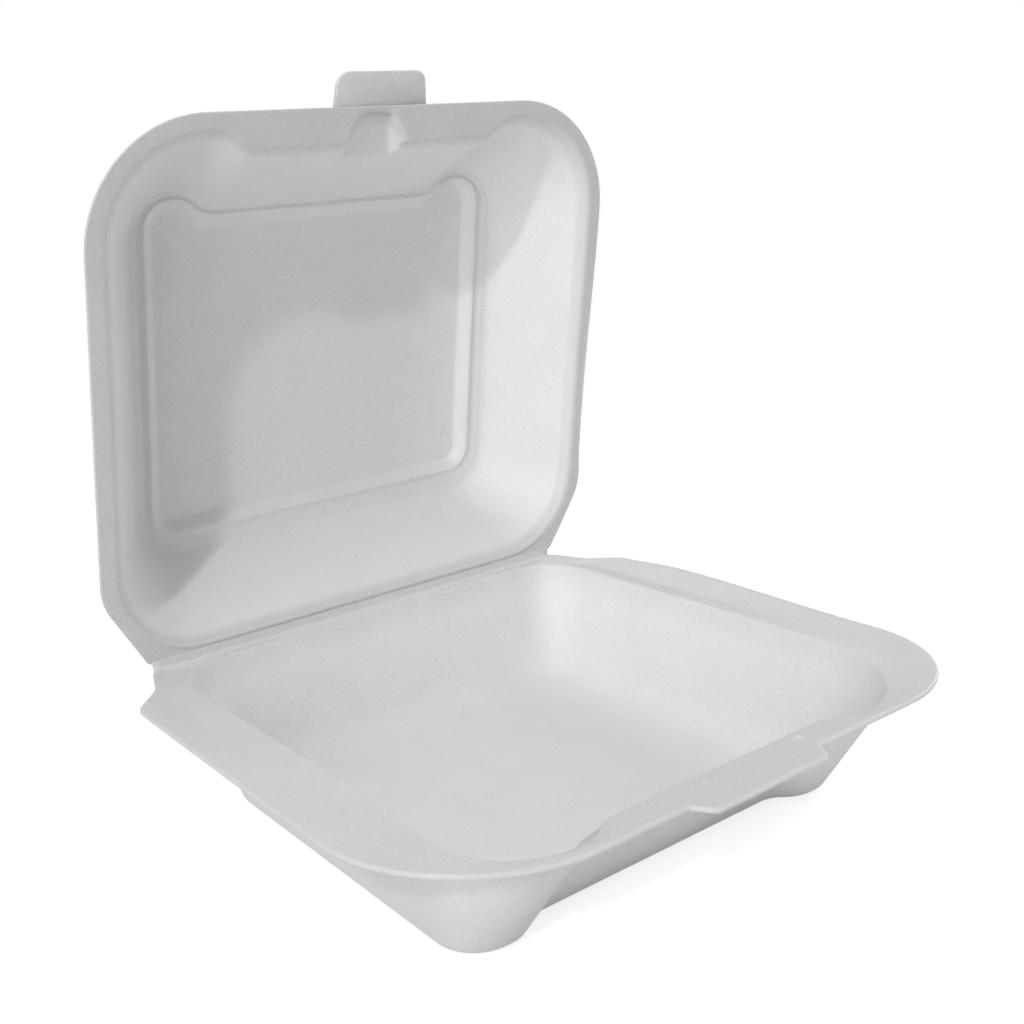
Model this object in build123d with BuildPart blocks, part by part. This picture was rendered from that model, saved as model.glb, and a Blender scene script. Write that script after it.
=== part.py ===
# Foam meal box standing open: a tray and a lid pressed from one sheet, joined along a hinge line at the back.
# Millimetres, +Z up. The origin is on the resting face, midway between the floor's back and front edges.
# X runs along the hinge line and the front of the box is towards -Y.
import os
from math import cos, radians, sin

from build123d import *

# Sheet
sheet = 2.4

# Hinge line along the back of the rim, with the lid standing at its resting angle from shut
hinge_length = 179
hinge_corner = 2
open_angle = 80
bead_radius = 0.9
bead_clearance = 0.4
hinge_split = 0.3
score_offset = 2.6
score_width = 1.0
score_depth = 0.7

# Rim outline, shared by the tray and the lid, measured from the hinge line
rim_width = 214
rim_depth = 188
rim_corner = 42.5
ear_depth = 27
ear_radius = 4
waist_width = 191
waist_depth = 16.5
waist_radius = 6
shoulder_depth = 28
shoulder_radius = 15

# Tray mouth at the rim, with its front wall set in between two corner lobes.
# Sides and fronts, here and below, are measured in from the rim's edges and backs from the hinge line.
tray_height = 40
mouth_flange = 21.8
mouth_back = 5.8
mouth_setback = 6.5
mouth_inset = 5.4
mouth_back_corner = 22
mouth_front_corner = 26.5
mouth_bevel = 1.2
mouth_lobe_flat = 12.2
mouth_neck = 12.5
tray_wall = 2.7

# Tray floor inside, one sheet above the resting face
floor_flange = 33.7
floor_back = 24.7
floor_setback = 35.5
floor_inset = 6.7
floor_back_corner = 15
floor_front_corner = 11
floor_lobe_flat = 2.3
floor_neck = 16.5
floor_wall = 2
floor_rounding = 6
foot_rounding = 3

# Shallow channel round the tray's mouth
channel_start = 1.6
channel_side = 8.8
channel_front = 4
channel_back = 2
channel_depth = 0.8

# Front lip of the tray and the slit in the rim behind it
lip_width = 59
lip_out = 5.5
lip_slope = 5
slit_length = 38.5
slit_width = 1.2
slit_setback = 7.4

# Lid mouth at the rim
seat_gap = 0.4
lid_flange = 7.6
lid_mouth_back = 5.8
lid_setback = 7
lid_mouth_inset = 6.3
lid_back_corner = 31
lid_front_corner = 35
lid_lobe_flat = 2.9
lid_neck = 16
lid_wall = 2.9

# Lid land, the ledge round the raised panel, measured inside
lid_depth = 35.5
land_flange = 27.3
land_back = 23.4
land_setback = 29
land_inset = 6.2
land_back_corner = 15
land_front_corner = 19
land_lobe_flat = 0.6
land_neck = 16
land_wall = 1.3
land_rounding = 3

# Raised panel on the lid, set in from the land's edges
panel_rise = 4.5
panel_side_land = 7.4
panel_back_land = 7.9
panel_front_land = 3.6
panel_inset = 6
panel_corner = 10
panel_lobe_flat = 2
panel_neck = 15
panel_slope = 5.5
panel_top_corner = 4
panel_top_flat = 4.8

# Thumb groove in the lid's front flange and wall
groove_rim_width = 19
groove_rim_rise = 1.2
groove_wall_width = 32
groove_wall_rise = 6
groove_length = 22
groove_flank = 3.5

# Locking tab on the lid's front edge
tab_width = 38
tab_out = 12
tab_corner = 5
tab_sheet = 1.8

# Places that follow from the sizes
half_rim = rim_width / 2
lip_half = lip_width / 2
hinge_y = (floor_back + rim_depth - floor_setback) / 2
lid_turn = radians(open_angle)
hinge_point = Vector(0, hinge_y, tray_height)
lid_up = Vector(0, sin(lid_turn), cos(lid_turn))
lid_forward = Vector(0, -cos(lid_turn), sin(lid_turn))
hinge_section = Plane(origin=hinge_point, x_dir=(0, 1, 0), z_dir=(1, 0, 0))
tray_slant = ((waist_width / 2, -waist_depth), (half_rim, -ear_depth))
lid_slant = ((half_rim, -shoulder_depth),)

# Sizes of each level: half width, back, front, inset, back corner, front corner, lobe flat, neck
tray_mouth = (half_rim - mouth_flange, mouth_back, rim_depth - mouth_setback, mouth_inset,
              mouth_back_corner, mouth_front_corner, mouth_lobe_flat, mouth_neck)
tray_floor = (half_rim - floor_flange, floor_back, rim_depth - floor_setback, floor_inset,
              floor_back_corner, floor_front_corner, floor_lobe_flat, floor_neck)
lid_mouth = (half_rim - lid_flange, lid_mouth_back, rim_depth - lid_setback, lid_mouth_inset,
             lid_back_corner, lid_front_corner, lid_lobe_flat, lid_neck)
lid_land = (half_rim - land_flange, land_back, rim_depth - land_setback, land_inset,
            land_back_corner, land_front_corner, land_lobe_flat, land_neck)
panel_half = half_rim - land_flange - panel_side_land
panel_back = land_back + panel_back_land
panel_front = rim_depth - land_setback - panel_front_land
panel_foot = (panel_half, panel_back, panel_front, panel_inset,
              panel_corner, panel_corner, panel_lobe_flat, panel_neck)
panel_top = (panel_half - panel_slope, panel_back + panel_slope, panel_front - panel_slope, panel_inset,
             panel_top_corner, panel_top_corner, panel_top_flat, panel_neck)


# A level grown outwards on every side
def grown(level, amount):
    half, back, front, inset, back_corner, front_corner, lobe_flat, neck = level
    return (half + amount, back - amount, front + amount, inset,
            back_corner + amount, front_corner + amount, lobe_flat, neck)


# A level part of the way up a straight wall
def between(low, high, share):
    return tuple(a + (b - a) * share for a, b in zip(low, high))


# Inward step and height along a quarter round, from the flat to the wall
def quarter_round(radius):
    turns = (radians(angle) for angle in (0, 30, 60, 90))
    return [(radius * (1 - sin(turn)), radius * (1 - cos(turn))) for turn in turns]


def tray_level(height):
    return Plane(origin=(0, hinge_y, height), x_dir=(1, 0, 0), z_dir=(0, 0, 1))


def lid_level(height):
    return Plane(origin=hinge_point + lid_up * height, x_dir=(1, 0, 0), z_dir=lid_up)


# Plane across the lid, at a distance from the hinge line towards the lid's front
def lid_section(distance):
    return Plane(origin=hinge_point + lid_forward * distance, x_dir=(1, 0, 0), z_dir=lid_forward)


# Closed outline of one level, with the hinge line at y = 0 and the front set in between two lobes
def dish(level):
    half, back, front, inset, back_corner, front_corner, lobe_flat, neck = level
    neck_outer = half - front_corner - lobe_flat
    neck_inner = neck_outer - neck
    middle = (neck_outer - neck / 2, inset / 2 - front)
    with BuildSketch() as outline:
        with BuildLine():
            Line((0, -back), (half - back_corner, -back))
            CenterArc((half - back_corner, -back - back_corner), back_corner, 0, 90)
            Line((half, -back - back_corner), (half, front_corner - front))
            CenterArc((half - front_corner, front_corner - front), front_corner, 270, 90)
            Line((half - front_corner, -front), (neck_outer, -front))
            TangentArc((neck_outer, -front), middle, tangent=(-1, 0))
            TangentArc((neck_inner, inset - front), middle, tangent=(1, 0))
            Line((neck_inner, inset - front), (0, inset - front))
            mirror(about=Plane.YZ)
        make_face()
    return outline.sketch


# Rim outline, cut back along a slant from the side edges to the ends of the hinge line
def rim(slant, slant_radii):
    with BuildSketch() as outline:
        with BuildLine():
            FilletPolyline(
                (0, -hinge_split),
                (hinge_length / 2, -hinge_split),
                *slant,
                (half_rim, -rim_depth),
                (0, -rim_depth),
                radius=[hinge_corner, *slant_radii, rim_corner],
            )
            mirror(about=Plane.YZ)
        make_face()
    return outline.sketch


# Upright trapezium across the thumb groove, standing on the flange
def groove_face(half, rise):
    with BuildSketch() as outline:
        with BuildLine():
            Polyline((-half, seat_gap), (half, seat_gap), (half - groove_flank, seat_gap + rise),
                     (groove_flank - half, seat_gap + rise), close=True)
        make_face()
    return outline.sketch


with BuildPart() as base_tray:
    # Outside of the tray, rounded at the foot
    tray_outside = grown(tray_mouth, tray_wall)
    foot = grown(tray_floor, floor_wall)
    for inward, height in quarter_round(foot_rounding):
        with BuildSketch(tray_level(height)):
            add(dish(grown(between(foot, tray_outside, height / tray_height), -inward)))
    with BuildSketch(tray_level(tray_height)):
        add(dish(tray_outside))
    loft(ruled=True)

    # Flat rim and the front lip
    with BuildSketch(tray_level(tray_height)):
        add(rim(tray_slant, (waist_radius, ear_radius)))
        with BuildLine():
            Polyline((-lip_half, -rim_depth), (lip_slope - lip_half, -rim_depth - lip_out),
                     (lip_half - lip_slope, -rim_depth - lip_out), (lip_half, -rim_depth), close=True)
        make_face()
    extrude(amount=-sheet)

    # Inside of the tray, rounded at the floor and bevelled at the mouth
    inside_height = tray_height - sheet
    for inward, height in quarter_round(floor_rounding):
        with BuildSketch(tray_level(sheet + height)):
            add(dish(grown(between(tray_floor, tray_mouth, height / inside_height), -inward)))
    with BuildSketch(tray_level(tray_height - mouth_bevel)):
        add(dish(between(tray_floor, tray_mouth, 1 - mouth_bevel / inside_height)))
    with BuildSketch(tray_level(tray_height)):
        add(dish(grown(tray_mouth, mouth_bevel)))
    loft(ruled=True, mode=Mode.SUBTRACT)

    # Channel round the mouth
    channel_inner = grown(tray_mouth, channel_start)
    channel_outer = (
        half_rim - mouth_flange + channel_side,
        mouth_back - channel_start - channel_back,
        rim_depth - mouth_setback + channel_front,
        mouth_inset,
        mouth_back_corner + channel_side,
        mouth_front_corner + channel_side,
        mouth_lobe_flat,
        mouth_neck,
    )
    with BuildSketch(tray_level(tray_height)):
        add(dish(channel_outer))
        add(dish(channel_inner), mode=Mode.SUBTRACT)
    extrude(amount=-channel_depth, mode=Mode.SUBTRACT)

    # Slit for the locking tab
    with BuildSketch(tray_level(tray_height)):
        with Locations((0, slit_setback - rim_depth)):
            SlotOverall(slit_length, slit_width)
    extrude(amount=-sheet, mode=Mode.SUBTRACT)

    # Pressed score beside the hinge line, and the bead that the lid turns on
    with BuildSketch(tray_level(tray_height)):
        with Locations((0, -score_offset)):
            Rectangle(rim_width, score_width)
    extrude(amount=-score_depth, mode=Mode.SUBTRACT)
    with BuildSketch(hinge_section):
        Circle(bead_radius)
    extrude(amount=hinge_length / 2, both=True)

with BuildPart() as lid:
    # Outside of the lid, rounded at the top
    lid_outside = grown(lid_mouth, lid_wall)
    lid_top = grown(lid_land, land_wall)
    top_height = lid_depth + sheet
    with BuildSketch(lid_level(seat_gap)):
        add(dish(lid_outside))
    for inward, drop in reversed(quarter_round(land_rounding)):
        with BuildSketch(lid_level(top_height - drop)):
            add(dish(grown(between(lid_top, lid_outside, drop / (top_height - seat_gap)), -inward)))
    loft(ruled=True)

    # Outside of the raised panel
    with BuildSketch(lid_level(top_height)):
        add(dish(panel_foot))
    with BuildSketch(lid_level(top_height + panel_rise)):
        add(dish(panel_top))
    loft(ruled=True)

    # Flange and the locking tab
    with BuildSketch(lid_level(seat_gap)):
        add(rim(lid_slant, (shoulder_radius,)))
    extrude(amount=sheet)
    with BuildSketch(lid_level(seat_gap)):
        with Locations((0, -rim_depth)):
            RectangleRounded(tab_width, 2 * tab_out, tab_corner)
    extrude(amount=tab_sheet)

    # Outside of the thumb groove
    with BuildSketch(lid_section(rim_depth)):
        add(groove_face(groove_rim_width / 2 + sheet, groove_rim_rise + sheet))
    with BuildSketch(lid_section(rim_depth - groove_length)):
        add(groove_face(groove_wall_width / 2 + sheet, groove_wall_rise + sheet))
    loft(ruled=True)

    # Inside of the lid
    with BuildSketch(lid_level(seat_gap)):
        add(dish(lid_mouth))
    for inward, drop in reversed(quarter_round(land_rounding)):
        with BuildSketch(lid_level(lid_depth - drop)):
            add(dish(grown(between(lid_land, lid_mouth, drop / (lid_depth - seat_gap)), -inward)))
    loft(ruled=True, mode=Mode.SUBTRACT)

    # Inside of the raised panel
    with BuildSketch(lid_level(lid_depth)):
        add(dish(panel_foot))
    with BuildSketch(lid_level(lid_depth + panel_rise)):
        add(dish(panel_top))
    loft(ruled=True, mode=Mode.SUBTRACT)

    # Inside of the thumb groove
    with BuildSketch(lid_section(rim_depth)):
        add(groove_face(groove_rim_width / 2, groove_rim_rise))
    with BuildSketch(lid_section(rim_depth - groove_length)):
        add(groove_face(groove_wall_width / 2, groove_wall_rise))
    loft(ruled=True, mode=Mode.SUBTRACT)

    # Pressed score beside the hinge line, and room for the bead
    with BuildSketch(lid_level(seat_gap)):
        with Locations((0, -score_offset)):
            Rectangle(rim_width, score_width)
    extrude(amount=score_depth, mode=Mode.SUBTRACT)
    with BuildSketch(hinge_section):
        Circle(bead_radius + bead_clearance)
    extrude(amount=half_rim, both=True, mode=Mode.SUBTRACT)

base_tray.part.label = "base_tray"
lid.part.label = "lid"

os.makedirs("parts", exist_ok=True)
export_step(base_tray.part, "parts/base_tray.step")
export_step(lid.part, "parts/lid.step")
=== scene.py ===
# Foam meal box standing open, as it looks: the tray, the lid with its locking tab, and the hinge strip.
from math import atan2, cos, hypot, pi, radians, sin, tan

import bmesh
import bpy
from mathutils import Euler, Matrix, Vector


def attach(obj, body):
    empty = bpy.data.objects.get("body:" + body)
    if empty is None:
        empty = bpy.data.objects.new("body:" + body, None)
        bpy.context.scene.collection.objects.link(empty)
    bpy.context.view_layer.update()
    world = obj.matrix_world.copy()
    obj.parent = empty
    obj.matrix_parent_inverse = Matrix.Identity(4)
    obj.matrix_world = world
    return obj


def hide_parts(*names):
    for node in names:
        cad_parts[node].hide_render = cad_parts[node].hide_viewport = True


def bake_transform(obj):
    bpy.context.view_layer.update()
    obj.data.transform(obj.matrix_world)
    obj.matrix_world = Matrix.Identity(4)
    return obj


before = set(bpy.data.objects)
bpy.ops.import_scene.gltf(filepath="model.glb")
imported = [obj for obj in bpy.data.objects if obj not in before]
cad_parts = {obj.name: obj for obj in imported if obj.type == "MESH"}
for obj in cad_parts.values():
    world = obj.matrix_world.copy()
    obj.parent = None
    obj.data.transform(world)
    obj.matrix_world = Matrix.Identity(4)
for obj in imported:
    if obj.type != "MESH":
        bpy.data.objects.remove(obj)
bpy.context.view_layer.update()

# Sizes in millimetres. A point on the sheet is x along the hinge line, v away from it and h above the rim.
MM = 0.001
SHEET = 2.4
HINGE_Y = 88.6
TRAY_HEIGHT = 40
OPEN_ANGLE = radians(80)
HALF_RIM = 107
RIM_DEPTH = 188
RIM_CORNER = 42.5
TRAY_LEFT_CORNER = 50
RIM_BACK = 2.2
RIM_BACK_FLAT = 87.5
SIDE_START = 45

# Levels: half width, back, front, inset, back corner, front corner, lobe flat, neck
TRAY_MOUTH = (85.2, 5.8, 181.5, 5.4, 22, 25, 0.7, 17)
TRAY_FLOOR = (74.6, 24.7, 152.5, 6.3, 15, 11, 2.3, 11.5)
TRAY_MOUTH_RIGHT = (85.2, 5.8, 181.5, 5.4, 18, 36, 2.7, 12.5)
TRAY_FLOOR_RIGHT = (72, 24.7, 152.5, 6.3, 11, 11.5, 0.5, 16.5)
TRAY_OUTSIDE = (87.9, 3.1, 184.2, 5.4, 24.7, 26.4, 0.5, 15)
TRAY_OUTSIDE_RIGHT = (87.9, 3.1, 184.2, 5.4, 20.7, 38.7, 2.7, 12.5)
TRAY_FOOT = (76.6, 22.7, 154.5, 6.3, 17, 13, 2.3, 11.5)
TRAY_FOOT_RIGHT = (74, 22.7, 154.5, 6.3, 13, 13.5, 0.5, 16.5)
LID_MOUTH = (99.4, 5.8, 181, 6.3, 31, 35, 2.9, 16)
LID_LAND = (79.7, 23.4, 159, 6.2, 15, 19, 0.6, 16)
PANEL_FOOT = (72.3, 31.3, 155.4, 6, 10, 10, 2, 15)
PANEL_FLAT = (67, 35.8, 149.3, 6.2, 4, 4, 1.6, 15)
PANEL_BACK_FLAT = (66.8, 36.8, 149.9, 6, 4, 4, 1.6, 15)
FLOOR_ROUNDING = 8
FOOT_ROUNDING = 3
SEAT_GAP = 0.4
LID_WALL = 2.9
LAND_WALL = 1.3
LAND_ROUNDING = 3
LID_DEPTH = 35.5
PANEL_RISE = 4.5

# Points on each stretch of half an outline, from the middle of the back to the middle of the front
STEPS = {"back": 20, "back corner": 26, "side": 40, "front corner": 30, "lobe": 8, "neck": 22, "inset": 56}
FRONT_START = STEPS["back"] + STEPS["back corner"] + STEPS["side"] + STEPS["front corner"]

# Steps along a quarter round, round a corner of a path, and round the edge of a rim
QUARTER_STEPS = 8
ROUND_STEPS = 12
EDGE_STEPS = 8


def clamp(value):
    return max(0.0, min(1.0, value))


def smooth(value):
    share = clamp(value)
    return share * share * (3 - 2 * share)


def mix(a, b, share):
    return a + (b - a) * share


def grown(level, amount):
    half, back, front, inset, back_corner, front_corner, lobe_flat, neck = level
    return (half + amount, back - amount, front + amount, inset,
            back_corner + amount, front_corner + amount, lobe_flat, neck)


def between(low, high, share):
    return tuple(mix(a, b, share) for a, b in zip(low, high))


# Inward step and height along a quarter round, from the flat to the wall
def quarter_round(radius):
    turns = (i * pi / 2 / QUARTER_STEPS for i in range(QUARTER_STEPS + 1))
    return [(radius * (1 - sin(turn)), radius * (1 - cos(turn))) for turn in turns]


def shares(name):
    return [i / STEPS[name] for i in range(STEPS[name])]


# Half of a level's outline
def half_outline(level):
    half, back, front, inset, back_corner, front_corner, lobe_flat, neck = level
    neck_outer = half - front_corner - lobe_flat
    points = [(t * (half - back_corner), back) for t in shares("back")]
    for t in shares("back corner"):
        turn = t * pi / 2
        points.append((half - back_corner + back_corner * sin(turn), back + back_corner * (1 - cos(turn))))
    points += [(half, mix(back + back_corner, front - front_corner, t)) for t in shares("side")]
    for t in shares("front corner"):
        turn = t * pi / 2
        points.append((half - front_corner * (1 - cos(turn)), front - front_corner * (1 - sin(turn))))
    points += [(mix(half - front_corner, neck_outer, t), front) for t in shares("lobe")]
    neck_radius = (neck * neck + inset * inset) / (4 * inset)
    neck_turn = 2 * atan2(inset, neck)
    for t in shares("neck"):
        turn = neck_turn * min(2 * t, 2 - 2 * t)
        along = neck_radius * sin(turn)
        across = neck_radius * (1 - cos(turn))
        if t <= 0.5:
            points.append((neck_outer - along, front - across))
        else:
            points.append((neck_outer - neck + along, front - inset + across))
    points += [((neck_outer - neck) * (1 - t), front - inset) for t in shares("inset")]
    points.append((0.0, front - inset))
    return points


# Points along a path with rounded corners, evenly spaced, without its last point
def rounded_path(corners, radii, count):
    fine = [corners[0]]
    for before, corner, after, radius in zip(corners, corners[1:], corners[2:], radii):
        inward = (Vector(before) - Vector(corner)).normalized()
        outward = (Vector(after) - Vector(corner)).normalized()
        reach = radius / tan(inward.angle(outward) / 2)
        for i in range(ROUND_STEPS + 1):
            t = i / ROUND_STEPS
            start = Vector(corner) + inward * reach * (1 - t)
            end = Vector(corner) + outward * reach * t
            fine.append(tuple(start.lerp(end, t)))
    fine.append(corners[-1])
    lengths = [0.0]
    for a, b in zip(fine, fine[1:]):
        lengths.append(lengths[-1] + hypot(b[0] - a[0], b[1] - a[1]))
    points = []
    leg = 0
    for i in range(count):
        target = lengths[-1] * i / count
        while lengths[leg + 1] < target:
            leg += 1
        share = (target - lengths[leg]) / (lengths[leg + 1] - lengths[leg])
        points.append(between(fine[leg], fine[leg + 1], share))
    return points


# Half of a rim outline: the slant runs from the end of the hinge line to the side edge
def rim_outline(slant, radii, edge, rim_corner, mouth_half, lip):
    half = HALF_RIM - edge
    corner = rim_corner - edge
    points = [(t * RIM_BACK_FLAT, RIM_BACK) for t in shares("back")]
    path = [(RIM_BACK_FLAT, RIM_BACK), *slant, (half, SIDE_START)]
    points += rounded_path(path, radii, STEPS["back corner"])
    points += [(half, mix(SIDE_START, RIM_DEPTH - rim_corner, t)) for t in shares("side")]
    for t in shares("front corner"):
        turn = t * pi / 2
        points.append((half - corner * (1 - cos(turn)), RIM_DEPTH - rim_corner + corner * sin(turn)))
    front = mouth_half[FRONT_START:]
    stretch = (half - corner) / front[0][0]
    for point in front:
        x = point[0] * stretch
        points.append((x, RIM_DEPTH - edge + lip(x)))
    return points


# Whole outline from its halves, running round from the middle of the back
def joined(right, left):
    return right + [(-x, v) for x, v in reversed(left[1:-1])]


def loop(half):
    return joined(half, half)


# Outline moved outwards along its own normals
def offset(points, amount):
    moved = []
    count = len(points)
    for i, (x, v) in enumerate(points):
        ahead = points[(i + 1) % count]
        behind = points[i - 1]
        dx = ahead[0] - behind[0]
        dv = ahead[1] - behind[1]
        length = hypot(dx, dv)
        moved.append((x + dv / length * amount, v - dx / length * amount))
    return moved


def level_loop(level):
    return loop(half_outline(level))


# Halves of the tray's inside outline between its mouth and its floor, moved outwards by a growth
def tray_halves(share, growth):
    right = half_outline(grown(between(TRAY_MOUTH_RIGHT, TRAY_FLOOR_RIGHT, share), growth))
    left = half_outline(grown(between(TRAY_MOUTH, TRAY_FLOOR, share), growth))
    return right, left


def tray_loop(share, growth):
    return joined(*tray_halves(share, growth))


# Outline of the tray's outside wall at a drop below the rim
def outside_loop(drop, growth):
    share = drop / TRAY_HEIGHT
    right = half_outline(grown(between(TRAY_OUTSIDE_RIGHT, TRAY_FOOT_RIGHT, share), growth))
    left = half_outline(grown(between(TRAY_OUTSIDE, TRAY_FOOT, share), growth))
    return joined(right, left)


def flat_ring(points, height):
    return [(x, v, height) for x, v in points]


# Outlines drawn in towards a middle point, for the flat inside a level; its lobes are left out of them
def inner_rings(points, middle, height, scales):
    inset_front = points[len(points) // 2][1]
    rings = []
    for scale in scales:
        rings.append([(x * scale, mix(middle, min(v, inset_front), scale), height) for x, v in points])
    return rings


def new_object(name, vertices, faces):
    mesh = bpy.data.meshes.new(name)
    mesh.from_pydata(vertices, [], faces)
    work = bmesh.new()
    work.from_mesh(mesh)
    bmesh.ops.recalc_face_normals(work, faces=work.faces)
    work.to_mesh(mesh)
    work.free()
    mesh.polygons.foreach_set("use_smooth", [True] * len(mesh.polygons))
    piece = bpy.data.objects.new(name, mesh)
    bpy.context.scene.collection.objects.link(piece)
    return piece


# Painted shade at each point, for the material: most at the rim, none down the walls, so the rims look less
# lit
TRAY_RIM_SHADE = 0.4
LID_RIM_SHADE = 1.0
RIM_SHADE_REACH = 4.5
RIM_SHADE_FADE = 2.5


def paint_rim_shade(piece, heights, most):
    attribute = piece.data.attributes.new("rim_shade", "FLOAT", "POINT")
    amounts = [most * smooth((RIM_SHADE_REACH - abs(height)) / RIM_SHADE_FADE) for height in heights]
    attribute.data.foreach_set("value", amounts)


# Closed skin over rings with the same number of points, with a fan at each end
def closed_skin(rings, first_middle, last_middle):
    count = len(rings[0])
    vertices = [point for ring in rings for point in ring]
    faces = []
    for row in range(len(rings) - 1):
        for i in range(count):
            j = (i + 1) % count
            faces.append((row * count + i, row * count + j, (row + 1) * count + j, (row + 1) * count + i))
    first = len(vertices)
    vertices += [first_middle, last_middle]
    last_row = (len(rings) - 1) * count
    for i in range(count):
        j = (i + 1) % count
        faces.append((first, j, i))
        faces.append((first + 1, last_row + i, last_row + j))
    return vertices, faces


def on_tray(point):
    x, v, h = point
    return (x * MM, (HINGE_Y - v) * MM, (TRAY_HEIGHT + h) * MM)


def on_lid(point):
    x, v, h = point
    y = HINGE_Y - v * cos(OPEN_ANGLE) + h * sin(OPEN_ANGLE)
    z = TRAY_HEIGHT + v * sin(OPEN_ANGLE) + h * cos(OPEN_ANGLE)
    return (x * MM, y * MM, z * MM)


# Tray: front lip, rim edge, channel in the flange, warped right side, and the slit behind the lip
LIP_LEFT = 28.5
LIP_RIGHT = 22.5
LIP_SLOPE = 5
LIP_OUT = 6
EDGE_ROUND = 0.5
EDGE_SHEET = 1.2
EDGE_TAPER = 0.55
TRAY_EDGE_ROUND = 0.7
TRAY_EDGE_SHEET = 1.7
CHANNEL_PLACE = 0.43
CHANNEL_LEFT = 1.2
CHANNEL_RIGHT = 1.7
CHANNEL_RISE = 0.3
FRONT_FROM = 148
FRONT_FADE = 26
FRONT_DROP = 0.9
LEFT_SAG = 0.8
FULL_FLANGE = 20.5
WARP_START = 92
WARP_LIFT = 2.0
WARP_FROM = 24
WARP_GROWTH = 36
WARP_PEAK = 64
WARP_FADE = 80
SLIT_V = 180.6
SLIT_ENDS = (-15.4, 21.8)
NUB_RADIUS = 1.7
NUB_HEIGHT = 0.9
SLIT_DEPTH = 0.12
SLIT_HALF = 0.25


def left_lip(x):
    return LIP_OUT * smooth((LIP_LEFT - x) / LIP_SLOPE)


def right_lip(x):
    return LIP_OUT * smooth((LIP_RIGHT - x) / LIP_SLOPE)


def no_lip(x):
    return 0.0


# How far a place belongs to the front flange, and the drop of the crest there
def frontness(v):
    return smooth((v - FRONT_FROM) / FRONT_FADE)


def crest_drop(v):
    return FRONT_DROP * frontness(v)


# Height of the tray's flange across its width: a shallow V at the sides, one slope at the front
def channel(share, width, x, v):
    depth = mix(CHANNEL_LEFT, CHANNEL_RIGHT, clamp((x + HALF_RIM) / (2 * HALF_RIM)))
    crest = -crest_drop(v)
    slope = mix(crest, CHANNEL_RISE, CHANNEL_PLACE)
    flange = min(1.0, width / FULL_FLANGE)
    valley = mix(-depth, slope, frontness(v)) * flange
    if share < CHANNEL_PLACE:
        return mix(crest, valley, share / CHANNEL_PLACE)
    edge = CHANNEL_RISE * flange
    return mix(valley, edge, (share - CHANNEL_PLACE) / (1 - CHANNEL_PLACE))


# Share of the right side's warp that remains on the way to the front
def warp_remaining(v):
    return 1 - smooth((v - WARP_PEAK) / WARP_FADE)


# Lift of the tray's right edge and sag of its left edge
def warp(x, v):
    right = clamp((x - WARP_START) / (HALF_RIM - WARP_START))
    along = smooth((v - WARP_FROM) / WARP_GROWTH) * warp_remaining(v)
    left = clamp((-x - WARP_START) / (HALF_RIM - WARP_START))
    return WARP_LIFT * right * along - LEFT_SAG * left


def slit_marks(x, v):
    height = 0.0
    for end in SLIT_ENDS:
        away = hypot(x - end, v - SLIT_V) / NUB_RADIUS
        height += NUB_HEIGHT * (1 - smooth(away))
    if SLIT_ENDS[0] < x < SLIT_ENDS[1]:
        height -= SLIT_DEPTH * clamp(1 - abs(v - SLIT_V) / SLIT_HALF)
    return height


# Rings across a flange, from the mouth's crest to the rim's edge
FLANGE_SHARES = (0.05, 0.1, 0.14, 0.176, 0.194, 0.212, 0.24, 0.28, 0.34, 0.39, 0.43, 0.47, 0.53, 0.6, 0.68,
                 0.76, 0.84, 0.92, 1.0)
UNDER_SHARES = (1.0, 0.9, 0.8, 0.7, 0.6, 0.45, 0.3, 0.15, 0.05)
CREST_STEPS = ((-0.1, -2.0), (0.05, -1.2), (0.3, -0.6), (0.8, -0.18), (1.5, 0.0))
FLOOR_SCALES = (0.3, 0.6, 0.85)
WALL_SHARES = (0.25, 0.5, 0.75)

TRAY_SLANT = ((90.2, RIM_BACK), (95.5, 16.5), (HALF_RIM - TRAY_EDGE_ROUND, 27))
TRAY_SLANT_ROUNDS = (1.2, 6, 7)
mouth_right, mouth_left = tray_halves(0, CREST_STEPS[-1][0])
tray_crest = joined(mouth_right, mouth_left)
rim_right = rim_outline(TRAY_SLANT, TRAY_SLANT_ROUNDS, TRAY_EDGE_ROUND,
                        RIM_CORNER, mouth_right, right_lip)
rim_left = rim_outline(TRAY_SLANT, TRAY_SLANT_ROUNDS, TRAY_EDGE_ROUND,
                       TRAY_LEFT_CORNER, mouth_left, left_lip)
tray_rim = joined(rim_right, rim_left)
tray_flange_width = [hypot(a[0] - b[0], a[1] - b[1]) for a, b in zip(tray_crest, tray_rim)]


# Rounded edge of a rim, as outward steps and drops from its top face
def edge_steps(outward, sheet):
    turns = (pi * i / EDGE_STEPS for i in range(1, EDGE_STEPS))
    return [(outward * sin(turn), sheet / 2 * (1 - cos(turn))) for turn in turns]


# Sheet thickness across a flange, pinched towards the rim's edge
def thickness(share, edge):
    return mix(SHEET, edge, smooth((share - EDGE_TAPER) / (1 - EDGE_TAPER)))


def tray_flange_ring(share):
    ring = []
    for inner, outer, width in zip(tray_crest, tray_rim, tray_flange_width):
        x = mix(inner[0], outer[0], share)
        v = mix(inner[1], outer[1], share)
        ring.append((x, v, channel(share, width, x, v) + warp(x, v) + slit_marks(x, v)))
    return ring


# Underside of the flange, from the fillet over the outside wall to the rim's edge
def tray_under_ring(share, fillet):
    ring = []
    for inner, outer, width in zip(fillet, tray_rim, tray_flange_width):
        x = mix(inner[0], outer[0], share)
        v = mix(inner[1], outer[1], share)
        across = clamp(1 - hypot(outer[0] - x, outer[1] - v) / width)
        ring.append((x, v, channel(across, width, x, v) + warp(x, v) - thickness(across, TRAY_EDGE_SHEET)))
    return ring


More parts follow.
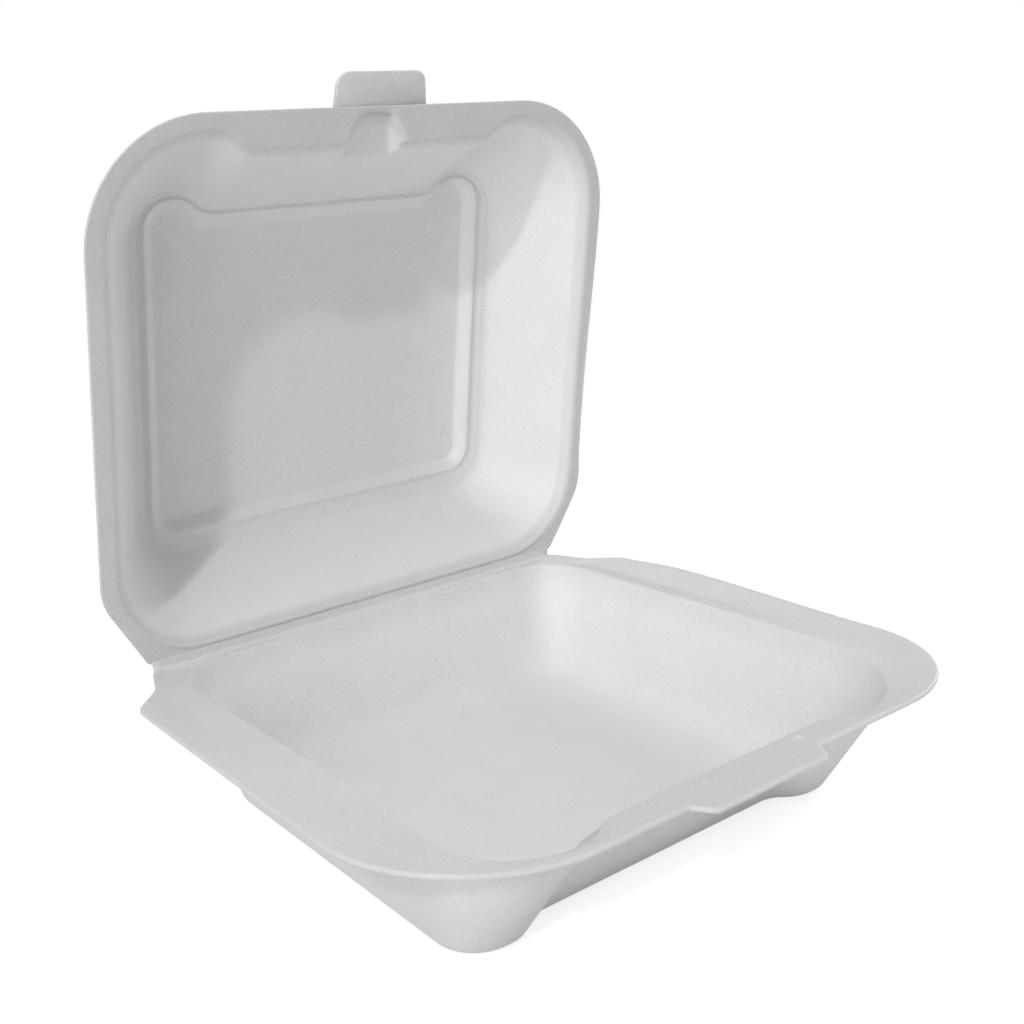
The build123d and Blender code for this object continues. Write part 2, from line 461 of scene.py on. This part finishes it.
inside_height = TRAY_HEIGHT - SHEET
floor_loop = tray_loop(1, -FLOOR_ROUNDING)
floor_middle = (TRAY_FLOOR[1] + TRAY_FLOOR[2]) / 2
tray_rings = inner_rings(floor_loop, floor_middle, -inside_height, FLOOR_SCALES)
for inward, rise in quarter_round(FLOOR_ROUNDING):
    tray_rings.append(flat_ring(tray_loop(1 - rise / inside_height, -inward), rise - inside_height))
wall_foot = FLOOR_ROUNDING / inside_height
wall_head = 1 + CREST_STEPS[0][1] / inside_height
for share in WALL_SHARES:
    up = mix(wall_foot, wall_head, share)
    tray_rings.append(flat_ring(tray_loop(1 - up, 0), (up - 1) * inside_height))
for growth, height in CREST_STEPS:
    tray_rings.append([(x, v, height - crest_drop(v)) for x, v in tray_loop(0, growth)])
tray_rings += [tray_flange_ring(share) for share in FLANGE_SHARES]

tray_edge = tray_rings[-1]
for outward, drop in edge_steps(TRAY_EDGE_ROUND, TRAY_EDGE_SHEET):
    moved = offset(tray_rim, outward)
    tray_rings.append([(x, v, top[2] - drop) for (x, v), top in zip(moved, tray_edge)])

# Outside wall, spread under the rim in a fillet, most on its left side and not at the back: drop and growth
OUTSIDE_FILLET = ((4.2, 3.2), (5.2, 2.0), (6.6, 1.1), (8.6, 0.5), (11.5, 0.1))
OUTSIDE_DROPS = (16, 22, 28, 33)
FILLET_LIMIT = 0.75
FILLET_RIGHT = 0.8
FILLET_TURN = 20
FILLET_START = 10
FILLET_FADE = 30
fillet_rings = []
for drop, growth in OUTSIDE_FILLET:
    ring = []
    for wall, spread, rim in zip(outside_loop(drop, 0), outside_loop(drop, growth), tray_rim):
        room = FILLET_LIMIT * hypot(rim[0] - wall[0], rim[1] - wall[1])
        left = 1 - FILLET_RIGHT * smooth((wall[0] + FILLET_TURN) / (2 * FILLET_TURN))
        share = min(1.0, room / growth) * left * smooth((wall[1] - FILLET_START) / FILLET_FADE)
        ring.append((mix(wall[0], spread[0], share), mix(wall[1], spread[1], share), -drop))
    fillet_rings.append(ring)
tray_rings += [tray_under_ring(share, fillet_rings[0]) for share in UNDER_SHARES]
tray_rings += fillet_rings
tray_rings += [flat_ring(outside_loop(drop, 0), -drop) for drop in OUTSIDE_DROPS]
for inward, rise in reversed(quarter_round(FOOT_ROUNDING)):
    tray_rings.append(flat_ring(outside_loop(TRAY_HEIGHT - rise, -inward), rise - TRAY_HEIGHT))
foot_loop = outside_loop(TRAY_HEIGHT, -FOOT_ROUNDING)
tray_rings += inner_rings(foot_loop, floor_middle, -TRAY_HEIGHT, reversed(FLOOR_SCALES))

vertices, faces = closed_skin(tray_rings, (0, floor_middle, -inside_height), (0, floor_middle, -TRAY_HEIGHT))
tray = new_object("tray", [on_tray(point) for point in vertices], faces)
# Painted shade on the tray's rim
paint_rim_shade(tray, [point[2] for point in vertices], TRAY_RIM_SHADE)

# Lid: curled edges, thumb groove in the front flange and a dip round the panel
LEFT_CURL = -0.3
RIGHT_CURL = 0.3
WARP_CURL = 1.4
CURL_START = 70
CURL_WIDTH = 30
CURL_FROM = 20
CURL_GROWTH = 25
CURL_END = 160
CURL_FADE = 30
CURL_POWER = 1.6
FRONT_CURL = 0.3
FRONT_CURL_FROM = 150
FRONT_CURL_GROWTH = 30
SEAT_LIFT = 1.0
SEAT_START = 86
SEAT_WIDTH = 14
SEAT_FROM = 5
SEAT_GROWTH = 30
SEAT_FADE = 14
HINGE_VALLEY = 0.3
VALLEY_END = 4
VALLEY_FADE = 8
CREST_LINE = 0.5
LINE_PLACE = 0.14
GROOVE_RIM_RISE = 0.3
GROOVE_SLOPE = 0.42
GROOVE_HALF = 8.5
GROOVE_SPREAD = 0.42
GROOVE_FLANK = 6.5
GROOVE_SCOPE = 30
LAND_DIP = 0.7
DIP_SKEW = 0.88
LID_CREST = ((0.0, -2.4), (0.25, -1.5), (0.7, -0.75), (1.3, -0.25), (2.2, 0.0))
LID_SHARES = (0.06, 0.14, 0.24, 0.36, 0.48, 0.6, 0.72, 0.84, 0.92, 1.0)


# Depth of the thumb groove at a place
def groove(x, v, wider):
    back = RIM_DEPTH - v
    if back > GROOVE_SCOPE:
        return 0.0
    rise = GROOVE_RIM_RISE + GROOVE_SLOPE * back
    half = GROOVE_HALF + GROOVE_SPREAD * back + wider
    return rise * smooth((half - abs(x)) / GROOVE_FLANK)


lid_mouth_half = half_outline(grown(LID_MOUTH, LID_CREST[-1][0]))
lid_crest = loop(lid_mouth_half)
LID_SLANT = ((90.4, RIM_BACK), (HALF_RIM - EDGE_ROUND, 29))
LID_SLANT_ROUNDS = (1.2, 22)
lid_rim = loop(rim_outline(LID_SLANT, LID_SLANT_ROUNDS, EDGE_ROUND, RIM_CORNER, lid_mouth_half, no_lip))


# How far the lid's flange is bent at its sides and front, and the valley beside the hinge line
def curl(x, v, share):
    side = clamp((abs(x) - CURL_START) / CURL_WIDTH) * smooth((v - CURL_FROM) / CURL_GROWTH)
    side *= 1 - smooth((v - CURL_END) / CURL_FADE)
    amount = FRONT_CURL * smooth((v - FRONT_CURL_FROM) / FRONT_CURL_GROWTH)
    if x > 0:
        amount += (RIGHT_CURL + WARP_CURL * warp_remaining(v)) * side
    else:
        amount += LEFT_CURL * side
    crest_line = CREST_LINE * clamp(1 - abs(share - LINE_PLACE) / LINE_PLACE)
    valley = (HINGE_VALLEY * sin(pi * share) + crest_line) * (1 - smooth((v - VALLEY_END) / VALLEY_FADE))
    return amount * share ** CURL_POWER + valley


# The lid's right edge, lifted to clear the tray's raised edge when shut
def seated(point):
    x, v, height = point
    along = smooth((v - SEAT_FROM) / SEAT_GROWTH) * warp_remaining(v)
    lift = SEAT_LIFT * along * smooth((x - SEAT_START) / SEAT_WIDTH) * (1 - smooth(height / SEAT_FADE))
    return (x, v, height + lift)


def lid_flange_ring(share, under):
    ring = []
    for inner, outer in zip(lid_crest, lid_rim):
        x = mix(inner[0], outer[0], share)
        v = mix(inner[1], outer[1], share)
        depth = thickness(share, EDGE_SHEET) if under else 0.0
        height = SEAT_GAP + curl(x, v, share) + depth
        dent = SEAT_GAP + groove(x, v, depth) + depth
        ring.append((x, v, max(height, dent)))
    return ring


# A ring at one depth of the lid, pressed in where the thumb groove crosses it
def lid_ring(level, height, under):
    ring = []
    for x, v in level_loop(level):
        ring.append((x, v, max(height, SEAT_GAP + groove(x, v, under) + under)))
    return ring


panel_height = LID_DEPTH + PANEL_RISE
panel_loop = level_loop(PANEL_FLAT)
panel_middle = (PANEL_FLAT[1] + PANEL_FLAT[2]) / 2
lid_rings = inner_rings(panel_loop, panel_middle, panel_height, FLOOR_SCALES)
RAMP_STEPS = 10
RAMP_SHARES = [i / RAMP_STEPS for i in range(RAMP_STEPS, -1, -1)]
for share in RAMP_SHARES:
    rise = PANEL_RISE * smooth(share)
    lid_rings.append(flat_ring(level_loop(between(PANEL_FOOT, PANEL_FLAT, share)), LID_DEPTH + rise))

# Land: a dip that is steepest beside the panel, and a round into the wall over the rest of its width
LAND_SHARES = (0.03, 0.07, 0.12, 0.18, 0.25, 0.33, 0.41, 0.49, 0.56)
LAND_ROUND_START = 0.62
for share in LAND_SHARES:
    dip = LAND_DIP * sin(pi * (share / LAND_ROUND_START) ** DIP_SKEW)
    lid_rings.append(flat_ring(level_loop(between(PANEL_FOOT, LID_LAND, share)), LID_DEPTH + dip))
LAND_ROUND_STEPS = 10
LID_WALL_FOOT = 0.13
round_start = between(PANEL_FOOT, LID_LAND, LAND_ROUND_START)
round_end = between(LID_LAND, LID_MOUTH, LID_WALL_FOOT)
for i in range(LAND_ROUND_STEPS + 1):
    t = i / LAND_ROUND_STEPS
    level = between(between(round_start, LID_LAND, t), between(LID_LAND, round_end, t), t)
    height = LID_DEPTH - t * t * LID_WALL_FOOT * (LID_DEPTH - SEAT_GAP)
    lid_rings.append(flat_ring(level_loop(level), height))
LID_WALL_SHARES = (0.2, 0.4, 0.55, 0.65, 0.72, 0.78, 0.82, 0.86, 0.9, 0.93, 0.96)
lid_wall_head = 1 + LID_CREST[0][1] / (LID_DEPTH - SEAT_GAP)
for share in LID_WALL_SHARES:
    up = mix(LID_WALL_FOOT, lid_wall_head, share)
    height = mix(LID_DEPTH, SEAT_GAP, up)
    lid_rings.append(lid_ring(between(LID_LAND, LID_MOUTH, up), height, 0))
for growth, height in LID_CREST:
    lid_rings.append(lid_ring(grown(LID_MOUTH, growth), SEAT_GAP - height, 0))
lid_rings += [lid_flange_ring(share, False) for share in LID_SHARES]
lid_edge = lid_rings[-1]
for outward, drop in edge_steps(EDGE_ROUND, EDGE_SHEET):
    moved = offset(lid_rim, outward)
    lid_rings.append([(x, v, top[2] + drop) for (x, v), top in zip(moved, lid_edge)])
lid_rings += [lid_flange_ring(share, True) for share in UNDER_SHARES]
lid_outside = grown(LID_MOUTH, LID_WALL)
lid_top = grown(LID_LAND, LAND_WALL)
top_height = LID_DEPTH + SHEET
LID_OUTSIDE_DROPS = (33.5, 32.5, 30, 27, 23, 18, 13, 8)
PANEL_MARGIN = 1.2
BACK_RAMP_POWER = 1.5
for drop in LID_OUTSIDE_DROPS:
    level = between(lid_top, lid_outside, drop / (top_height - SEAT_GAP))
    lid_rings.append(lid_ring(level, top_height - drop, SHEET))
for inward, drop in reversed(quarter_round(LAND_ROUNDING)):
    level = grown(between(lid_top, lid_outside, drop / (top_height - SEAT_GAP)), -inward)
    lid_rings.append(flat_ring(level_loop(level), top_height - drop))
lid_rings.append(flat_ring(level_loop(grown(PANEL_FOOT, PANEL_MARGIN)), top_height))
for share in reversed(RAMP_SHARES):
    rise = PANEL_RISE * (1 - (1 - share) ** BACK_RAMP_POWER)
    lid_rings.append(flat_ring(level_loop(between(PANEL_FOOT, PANEL_BACK_FLAT, share)), top_height + rise))
back_loop = level_loop(PANEL_BACK_FLAT)
lid_rings += inner_rings(back_loop, panel_middle, top_height + PANEL_RISE, reversed(FLOOR_SCALES))
vertices, faces = closed_skin(lid_rings, (0, panel_middle, panel_height),
                              (0, panel_middle, top_height + PANEL_RISE))

# Locking tab, bent back a little from the flange's front edge
TAB_LEFT = -17.4
TAB_RIGHT = 21.2
TAB_SLANT = 1.6
TAB_ROOT = 184.5
TAB_TIP = 199.4
TAB_LEFT_CORNER = 6.5
TAB_RIGHT_CORNER = 3.5
TAB_SHEET = 1.8
TAB_FACE = 1.0
TAB_BEND = tan(radians(6))
TAB_EDGE = 0.4
TAB_ROOT_STEPS = 7
TAB_CORNER_STEPS = 8


def tab_outline(inset):
    left = TAB_LEFT + inset
    right = TAB_RIGHT - inset
    tip = TAB_TIP - inset
    points = [(mix(left, right, i / TAB_ROOT_STEPS), TAB_ROOT) for i in range(TAB_ROOT_STEPS + 1)]
    corners = ((right - TAB_RIGHT_CORNER, TAB_RIGHT_CORNER, 0),
               (left + TAB_SLANT + TAB_LEFT_CORNER, TAB_LEFT_CORNER, 90))
    for middle, radius, first in corners:
        centre = (middle, tip - radius)
        for i in range(TAB_CORNER_STEPS + 1):
            turn = radians(first + 90 * i / TAB_CORNER_STEPS)
            points.append((centre[0] + radius * cos(turn), centre[1] + radius * sin(turn)))
    return points


def tab_ring(inset, depth):
    ring = []
    for x, v in tab_outline(inset):
        ring.append((x, v, SEAT_GAP + TAB_FACE + depth + (v - TAB_ROOT) * TAB_BEND))
    return ring


tab_rings = [
    tab_ring(TAB_EDGE, 0),
    tab_ring(0, TAB_EDGE),
    tab_ring(0, TAB_SHEET - TAB_EDGE),
    tab_ring(TAB_EDGE, TAB_SHEET),
]
tab_middle = (TAB_ROOT + TAB_TIP) / 2
tab_height = SEAT_GAP + TAB_FACE + (tab_middle - TAB_ROOT) * TAB_BEND
tab_vertices, tab_faces = closed_skin(tab_rings, (0, tab_middle, tab_height),
                                      (0, tab_middle, tab_height + TAB_SHEET))
start = len(vertices)
vertices += tab_vertices
faces += [tuple(start + index for index in face) for face in tab_faces]
vertices = [seated(point) for point in vertices]
lid = new_object("lid_shell", [on_lid(point) for point in vertices], faces)
# Painted shade on the lid's rim and tab, more than on the tray's
paint_rim_shade(lid, [point[2] for point in vertices], LID_RIM_SHADE)

# Hinge strip, squeezed thinner than the sheet and bent along the hinge line; painted shade greys all of it
STRIP_HALF = 89.5
STRIP_REACH = 2.9
STRIP_DROP = 0.2
STRIP_SHEET = 0.8
STRIP_ROUND = 0.8
STRIP_STEPS = 60
STRIP_POINTS = 16


# Bent line across the hinge, at a depth below the sheet's upper face: y and z from the hinge line
def strip_path(depth, radius):
    mitre = depth * tan((pi - OPEN_ANGLE) / 2 - (pi / 2 - OPEN_ANGLE))
    corner = (mitre, -depth)
    end = (depth * sin(OPEN_ANGLE) - STRIP_REACH * cos(OPEN_ANGLE),
           depth * cos(OPEN_ANGLE) + STRIP_REACH * sin(OPEN_ANGLE))
    path = rounded_path([(-STRIP_REACH, -depth), corner, end], (radius,), STRIP_POINTS)
    path.append(end)
    return path


strip_inner = strip_path(STRIP_DROP, STRIP_ROUND)
strip_outer = strip_path(STRIP_DROP + STRIP_SHEET, STRIP_ROUND + STRIP_SHEET)
strip_section = strip_inner + list(reversed(strip_outer))
strip_rings = []
for i in range(STRIP_STEPS + 1):
    x = mix(-STRIP_HALF, STRIP_HALF, i / STRIP_STEPS)
    strip_rings.append([(x * MM, (HINGE_Y + y) * MM, (TRAY_HEIGHT + z) * MM) for y, z in strip_section])
section_middle = strip_inner[len(strip_inner) // 2]
middle_y = (HINGE_Y + section_middle[0] + STRIP_SHEET / 2) * MM
middle_z = (TRAY_HEIGHT + section_middle[1] - STRIP_SHEET / 2) * MM
vertices, faces = closed_skin(strip_rings, (-STRIP_HALF * MM, middle_y, middle_z),
                              (STRIP_HALF * MM, middle_y, middle_z))
strip = new_object("hinge_strip", vertices, faces)
# Painted shade over the whole strip, as on the tray's rim
paint_rim_shade(strip, [0.0] * len(vertices), TRAY_RIM_SHADE)

# Foam: white, finely grained, with a soft sheen and painted shade on its rims. Noises are scale and detail,
# reliefs strength and distance
FOAM_WHITE = 0.9
RIM_SHADE_GREY = 0.13
FOAM_SHEEN = 0.35
FOAM_ROUGHNESS = (0.38, 0.58)
GRAIN = (1300, 3)
GRAIN_DARK = 0.045
GRAIN_LIGHT = 0.025
GRAIN_RELIEF = (0.35, 0.0004)
MOTTLE = (55, 2)
MOTTLE_TONE = 0.01
MOTTLE_RELIEF = (0.25, 0.001)
# Painted glints: sparse lighter specks in the foam's colour
GLINTS = (1100, 1)
GLINT_TONE = 0.08
GLINT_RANGE = (0.72, 0.78)
GLOSS = (420, 2)
foam = bpy.data.materials.new("foam")
foam.use_nodes = True
nodes = foam.node_tree.nodes
links = foam.node_tree.links
shader = nodes["Principled BSDF"]
shader.inputs["Specular IOR Level"].default_value = FOAM_SHEEN
place = nodes.new("ShaderNodeTexCoord")


def noise(scale, detail):
    node = nodes.new("ShaderNodeTexNoise")
    node.inputs["Scale"].default_value = scale
    node.inputs["Detail"].default_value = detail
    links.new(place.outputs["Object"], node.inputs["Vector"])
    return node.outputs["Fac"]


# Value moved to a range from low to high; noise lies mostly between 0.3 and 0.7
def ranged(source, low, high, start=0.3, end=0.7):
    node = nodes.new("ShaderNodeMapRange")
    node.inputs["From Min"].default_value = start
    node.inputs["From Max"].default_value = end
    node.inputs["To Min"].default_value = low
    node.inputs["To Max"].default_value = high
    links.new(source, node.inputs["Value"])
    return node.outputs["Result"]


def total(first, second):
    node = nodes.new("ShaderNodeMath")
    node.operation = "ADD"
    links.new(first, node.inputs[0])
    links.new(second, node.inputs[1])
    return node.outputs["Value"]


def bump(height, strength, distance):
    node = nodes.new("ShaderNodeBump")
    node.inputs["Strength"].default_value = strength
    node.inputs["Distance"].default_value = distance
    links.new(height, node.inputs["Height"])
    return node


grain = noise(*GRAIN)
mottle = noise(*MOTTLE)
glints = noise(*GLINTS)
grain_tone = ranged(grain, FOAM_WHITE - GRAIN_DARK, FOAM_WHITE + GRAIN_LIGHT)
tone = total(grain_tone, ranged(mottle, -MOTTLE_TONE, MOTTLE_TONE))
# Painted glints: lighter specks added to the colour
tone = total(tone, ranged(glints, 0, GLINT_TONE, *GLINT_RANGE))
# Painted shade: the colour is greyed by the amount of shade painted at each point
rim_shade = nodes.new("ShaderNodeAttribute")
rim_shade.attribute_name = "rim_shade"
tone = total(tone, ranged(rim_shade.outputs["Fac"], 0, -RIM_SHADE_GREY, 0, 1))
white = nodes.new("ShaderNodeCombineColor")
for channel_name in ("Red", "Green", "Blue"):
    links.new(tone, white.inputs[channel_name])
links.new(white.outputs["Color"], shader.inputs["Base Color"])
links.new(ranged(noise(*GLOSS), *FOAM_ROUGHNESS), shader.inputs["Roughness"])
relief = bump(grain, *GRAIN_RELIEF)
waves = bump(mottle, *MOTTLE_RELIEF)
links.new(relief.outputs["Normal"], waves.inputs["Normal"])
links.new(waves.outputs["Normal"], shader.inputs["Normal"])

# Pieces get the foam; the tray and lid stand in for their hidden CAD parts on their bodies, and the strip
# stays where it is built
for piece in (tray, lid, strip):
    piece.data.materials.append(foam)

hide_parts("base_tray")
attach(tray, "base")
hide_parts("lid")
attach(lid, "lid")
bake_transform(strip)


def grey(tone):
    return (tone, tone, tone, 1)


# Show the camera one shader and all other rays another
def seen_apart(tree, other, seen, output):
    path = tree.nodes.new("ShaderNodeLightPath")
    chosen = tree.nodes.new("ShaderNodeMixShader")
    tree.links.new(path.outputs["Is Camera Ray"], chosen.inputs["Fac"])
    tree.links.new(other, chosen.inputs[1])
    tree.links.new(seen, chosen.inputs[2])
    tree.links.new(chosen.outputs["Shader"], tree.nodes[output].inputs["Surface"])


# Pale floor: seen directly it is lit to white, apart from the box's soft shadow
FLOOR_HALF = 0.5
FLOOR_WHITE = 0.88
FLOOR_ROUGHNESS = 0.9
SEEN_WHITE = 0.5
SEEN_GLOW = 0.75
floor_mesh = bpy.data.meshes.new("floor")
floor_corners = [(x * FLOOR_HALF, y * FLOOR_HALF, 0) for x, y in ((-1, -1), (1, -1), (1, 1), (-1, 1))]
floor_mesh.from_pydata(floor_corners, [], [(0, 1, 2, 3)])
floor = bpy.data.objects.new("floor", floor_mesh)
bpy.context.scene.collection.objects.link(floor)
paper = bpy.data.materials.new("paper")
paper.use_nodes = True
paper_nodes = paper.node_tree.nodes
paper_links = paper.node_tree.links
paper_shader = paper_nodes["Principled BSDF"]
paper_shader.inputs["Base Color"].default_value = grey(FLOOR_WHITE)
paper_shader.inputs["Roughness"].default_value = FLOOR_ROUGHNESS
seen_diffuse = paper_nodes.new("ShaderNodeBsdfDiffuse")
seen_diffuse.inputs["Color"].default_value = grey(SEEN_WHITE)
seen_glow = paper_nodes.new("ShaderNodeEmission")
seen_glow.inputs["Strength"].default_value = SEEN_GLOW
seen = paper_nodes.new("ShaderNodeAddShader")
paper_links.new(seen_diffuse.outputs["BSDF"], seen.inputs[0])
paper_links.new(seen_glow.outputs["Emission"], seen.inputs[1])
seen_apart(paper.node_tree, paper_shader.outputs["BSDF"], seen.outputs["Shader"], "Material Output")
floor_mesh.materials.append(paper)

# World: white where it is seen, a plain soft level where it lights the box
AMBIENT = 0.04
BACKDROP = 1.0
scene = bpy.context.scene
world = bpy.data.worlds.new("studio")
scene.world = world
world.use_nodes = True
world_nodes = world.node_tree.nodes
ambient = world_nodes["Background"]
backdrop = world_nodes.new("ShaderNodeBackground")
for background, strength in ((ambient, AMBIENT), (backdrop, BACKDROP)):
    background.inputs["Color"].default_value = grey(1)
    background.inputs["Strength"].default_value = strength
seen_apart(world.node_tree, ambient.outputs["Background"], backdrop.outputs["Background"], "World Output")


# Lamps, each with its direction from the box, its strength and its spread in degrees
KEY_SPREAD = 3
SOFT_SPREAD = 60


def sun(name, direction, strength, spread):
    data = bpy.data.lights.new(name, "SUN")
    data.energy = strength
    data.angle = radians(spread)
    lamp = bpy.data.objects.new(name, data)
    lamp.rotation_euler = Vector(direction).to_track_quat("Z", "Y").to_euler()
    scene.collection.objects.link(lamp)


sun("key", (-0.598, -0.491, 0.633), 0.68, KEY_SPREAD)
sun("left", (-0.853, -0.492, 0.174), 1.45, SOFT_SPREAD)
sun("right", (0.985, 0, 0.174), 1.9, SOFT_SPREAD)
sun("top", (0, 0, 1), 0.88, SOFT_SPREAD)
sun("back", (0.17, 0.97, 0.174), 0.8, SOFT_SPREAD)

# Camera at the photograph's viewing angle; angles in degrees
CAMERA_PLACE = (-0.248556, -0.311066, 0.198206)
CAMERA_TILT = 81.66317
CAMERA_ROLL = 4.44228
CAMERA_TURN = -34.35269
camera_data = bpy.data.cameras.new("camera")
camera_data.sensor_width = 36
camera_data.lens = 44.917
camera_data.shift_x = 0.1179
camera_data.shift_y = -0.1361
camera_data.clip_start = 0.01
camera = bpy.data.objects.new("camera", camera_data)
camera_angles = Euler((radians(CAMERA_TILT), radians(CAMERA_ROLL), radians(CAMERA_TURN)))
camera.matrix_world = Matrix.Translation(CAMERA_PLACE) @ camera_angles.to_matrix().to_4x4()
scene.collection.objects.link(camera)
scene.camera = camera
scene.view_settings.view_transform = "Standard"
